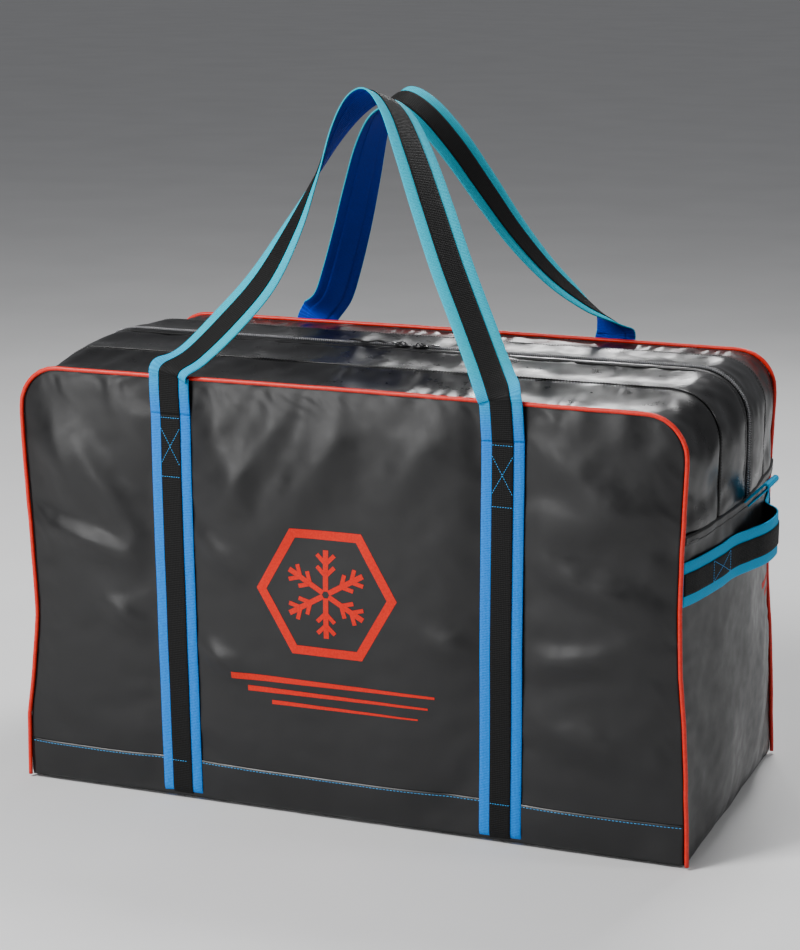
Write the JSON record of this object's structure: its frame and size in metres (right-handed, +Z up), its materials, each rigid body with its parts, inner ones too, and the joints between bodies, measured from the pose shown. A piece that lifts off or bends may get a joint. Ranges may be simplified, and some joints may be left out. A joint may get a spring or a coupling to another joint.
{
  "type": "hockey equipment carry bag",
  "caption": "Large stuffed carry bag with a zipped top, tall webbing carry handles, grab handles on its ends and piped front and back panels.",
  "frame": {"origin": "middle of the bag's footprint, on the surface that it stands on", "axes": "+Z up, +Y from the front panel to the back panel, +X to the right end seen from the front"},
  "size_m": [0.896, 0.4362, 0.8296],
  "materials": {
    "tarpaulin": "coated tarpaulin, charcoal, satin, soft folds",
    "gloss_tarpaulin": "coated tarpaulin, black, glossy",
    "piping": "orange-red vinyl piping, semi-gloss",
    "webbing_blue": "azure polyester webbing, plain weave",
    "webbing_black": "black ribbed polyester webbing",
    "zip_tape": "black woven zipper tape",
    "zip_teeth": "black nylon coil",
    "zip_metal": "black enamelled metal"
  },
  "bodies": {
    "shell": {"front_panel": "tarpaulin", "back_panel": "tarpaulin", "bottom_panel": "tarpaulin", "left_end_panel": "tarpaulin", "right_end_panel": "tarpaulin", "front_outer_band": "gloss_tarpaulin", "back_outer_band": "gloss_tarpaulin", "front_zip_panel_ends": "gloss_tarpaulin", "back_zip_panel_ends": "gloss_tarpaulin", "front_zip_tape_ends": "zip_tape", "back_zip_tape_ends": "zip_tape", "front_zip_teeth_ends": "zip_teeth", "back_zip_teeth_ends": "zip_teeth", "front_piping": "piping", "back_piping": "piping", "left_strap": "webbing_blue", "right_strap": "webbing_blue", "left_strap_stripe": "webbing_black", "right_strap_stripe": "webbing_black", "left_grab_ends": "webbing_blue", "right_grab_ends": "webbing_blue", "left_grab_ends_stripe": "webbing_black", "right_grab_ends_stripe": "webbing_black"},
    "front_carry_handle": {"front_handle": "webbing_blue", "front_handle_stripe": "webbing_black"},
    "back_carry_handle": {"back_handle": "webbing_blue", "back_handle_stripe": "webbing_black"},
    "right_grab_loop": {"right_grab_handle": "webbing_blue", "right_grab_handle_stripe": "webbing_black"},
    "left_grab_loop": {"left_grab_handle": "webbing_blue", "left_grab_handle_stripe": "webbing_black"},
    "front_zip_flap": {"front_flap": "gloss_tarpaulin", "front_zip_tape": "zip_tape", "front_zip_teeth": "zip_teeth"},
    "back_zip_flap": {"back_flap": "gloss_tarpaulin", "back_zip_tape": "zip_tape", "back_zip_teeth": "zip_teeth"},
    "left_zip_slider": {"left_slider": "zip_metal"},
    "right_zip_slider": {"right_slider": "zip_metal"},
    "left_zip_pull": {"left_pull": "zip_metal", "pull_ribbon": "zip_tape"},
    "right_zip_pull": {"right_pull": "zip_metal"},
    "right_end_tab": {"right_zip_tab": "webbing_blue"},
    "left_end_tab": {"left_zip_tab": "webbing_blue"}
  },
  "joints": [
    {"name": "front_handle_swing", "type": "hinge", "parent": "shell", "child": "front_carry_handle", "pos_m": [0, -0.213, 0.4635], "axis": [1, 0, 0], "range_deg": [0, 180]},
    {"name": "back_handle_swing", "type": "hinge", "parent": "shell", "child": "back_carry_handle", "pos_m": [0, 0.213, 0.4635], "axis": [-1, 0, 0], "range_deg": [0, 180]},
    {"name": "right_grab_swing", "type": "hinge", "parent": "shell", "child": "right_grab_loop", "pos_m": [0.4185, 0, 0.322], "axis": [0, 1, 0], "range_deg": [-28, 28]},
    {"name": "left_grab_swing", "type": "hinge", "parent": "shell", "child": "left_grab_loop", "pos_m": [-0.4185, 0, 0.322], "axis": [0, -1, 0], "range_deg": [-28, 28]},
    {"name": "front_flap_open", "type": "hinge", "parent": "shell", "child": "front_zip_flap", "pos_m": [0, -0.105, 0.518], "axis": [1, 0, 0], "range_deg": [0, 75]},
    {"name": "back_flap_open", "type": "hinge", "parent": "shell", "child": "back_zip_flap", "pos_m": [0, 0.105, 0.518], "axis": [-1, 0, 0], "range_deg": [0, 75]},
    {"name": "left_slider_travel", "type": "slide", "parent": "front_zip_flap", "child": "left_zip_slider", "axis": [-1, 0, 0], "range_m": [0, 0.33]},
    {"name": "right_slider_travel", "type": "slide", "parent": "front_zip_flap", "child": "right_zip_slider", "axis": [1, 0, 0], "range_m": [0, 0.315]},
    {"name": "left_pull_lift", "type": "hinge", "parent": "left_zip_slider", "child": "left_zip_pull", "pos_m": [-0.003, -0.0046, 0.5274], "axis": [0, 1, 0], "range_deg": [0, 90]},
    {"name": "right_pull_lift", "type": "hinge", "parent": "right_zip_slider", "child": "right_zip_pull", "pos_m": [0.019, -0.0046, 0.5274], "axis": [0, -1, 0], "range_deg": [0, 90]},
    {"name": "right_tab_bend", "type": "hinge", "parent": "shell", "child": "right_end_tab", "pos_m": [0.421, 0, 0.374], "axis": [0, 1, 0], "range_deg": [-30, 50]},
    {"name": "left_tab_bend", "type": "hinge", "parent": "shell", "child": "left_end_tab", "pos_m": [-0.421, 0, 0.374], "axis": [0, -1, 0], "range_deg": [-30, 50]}
  ]
}
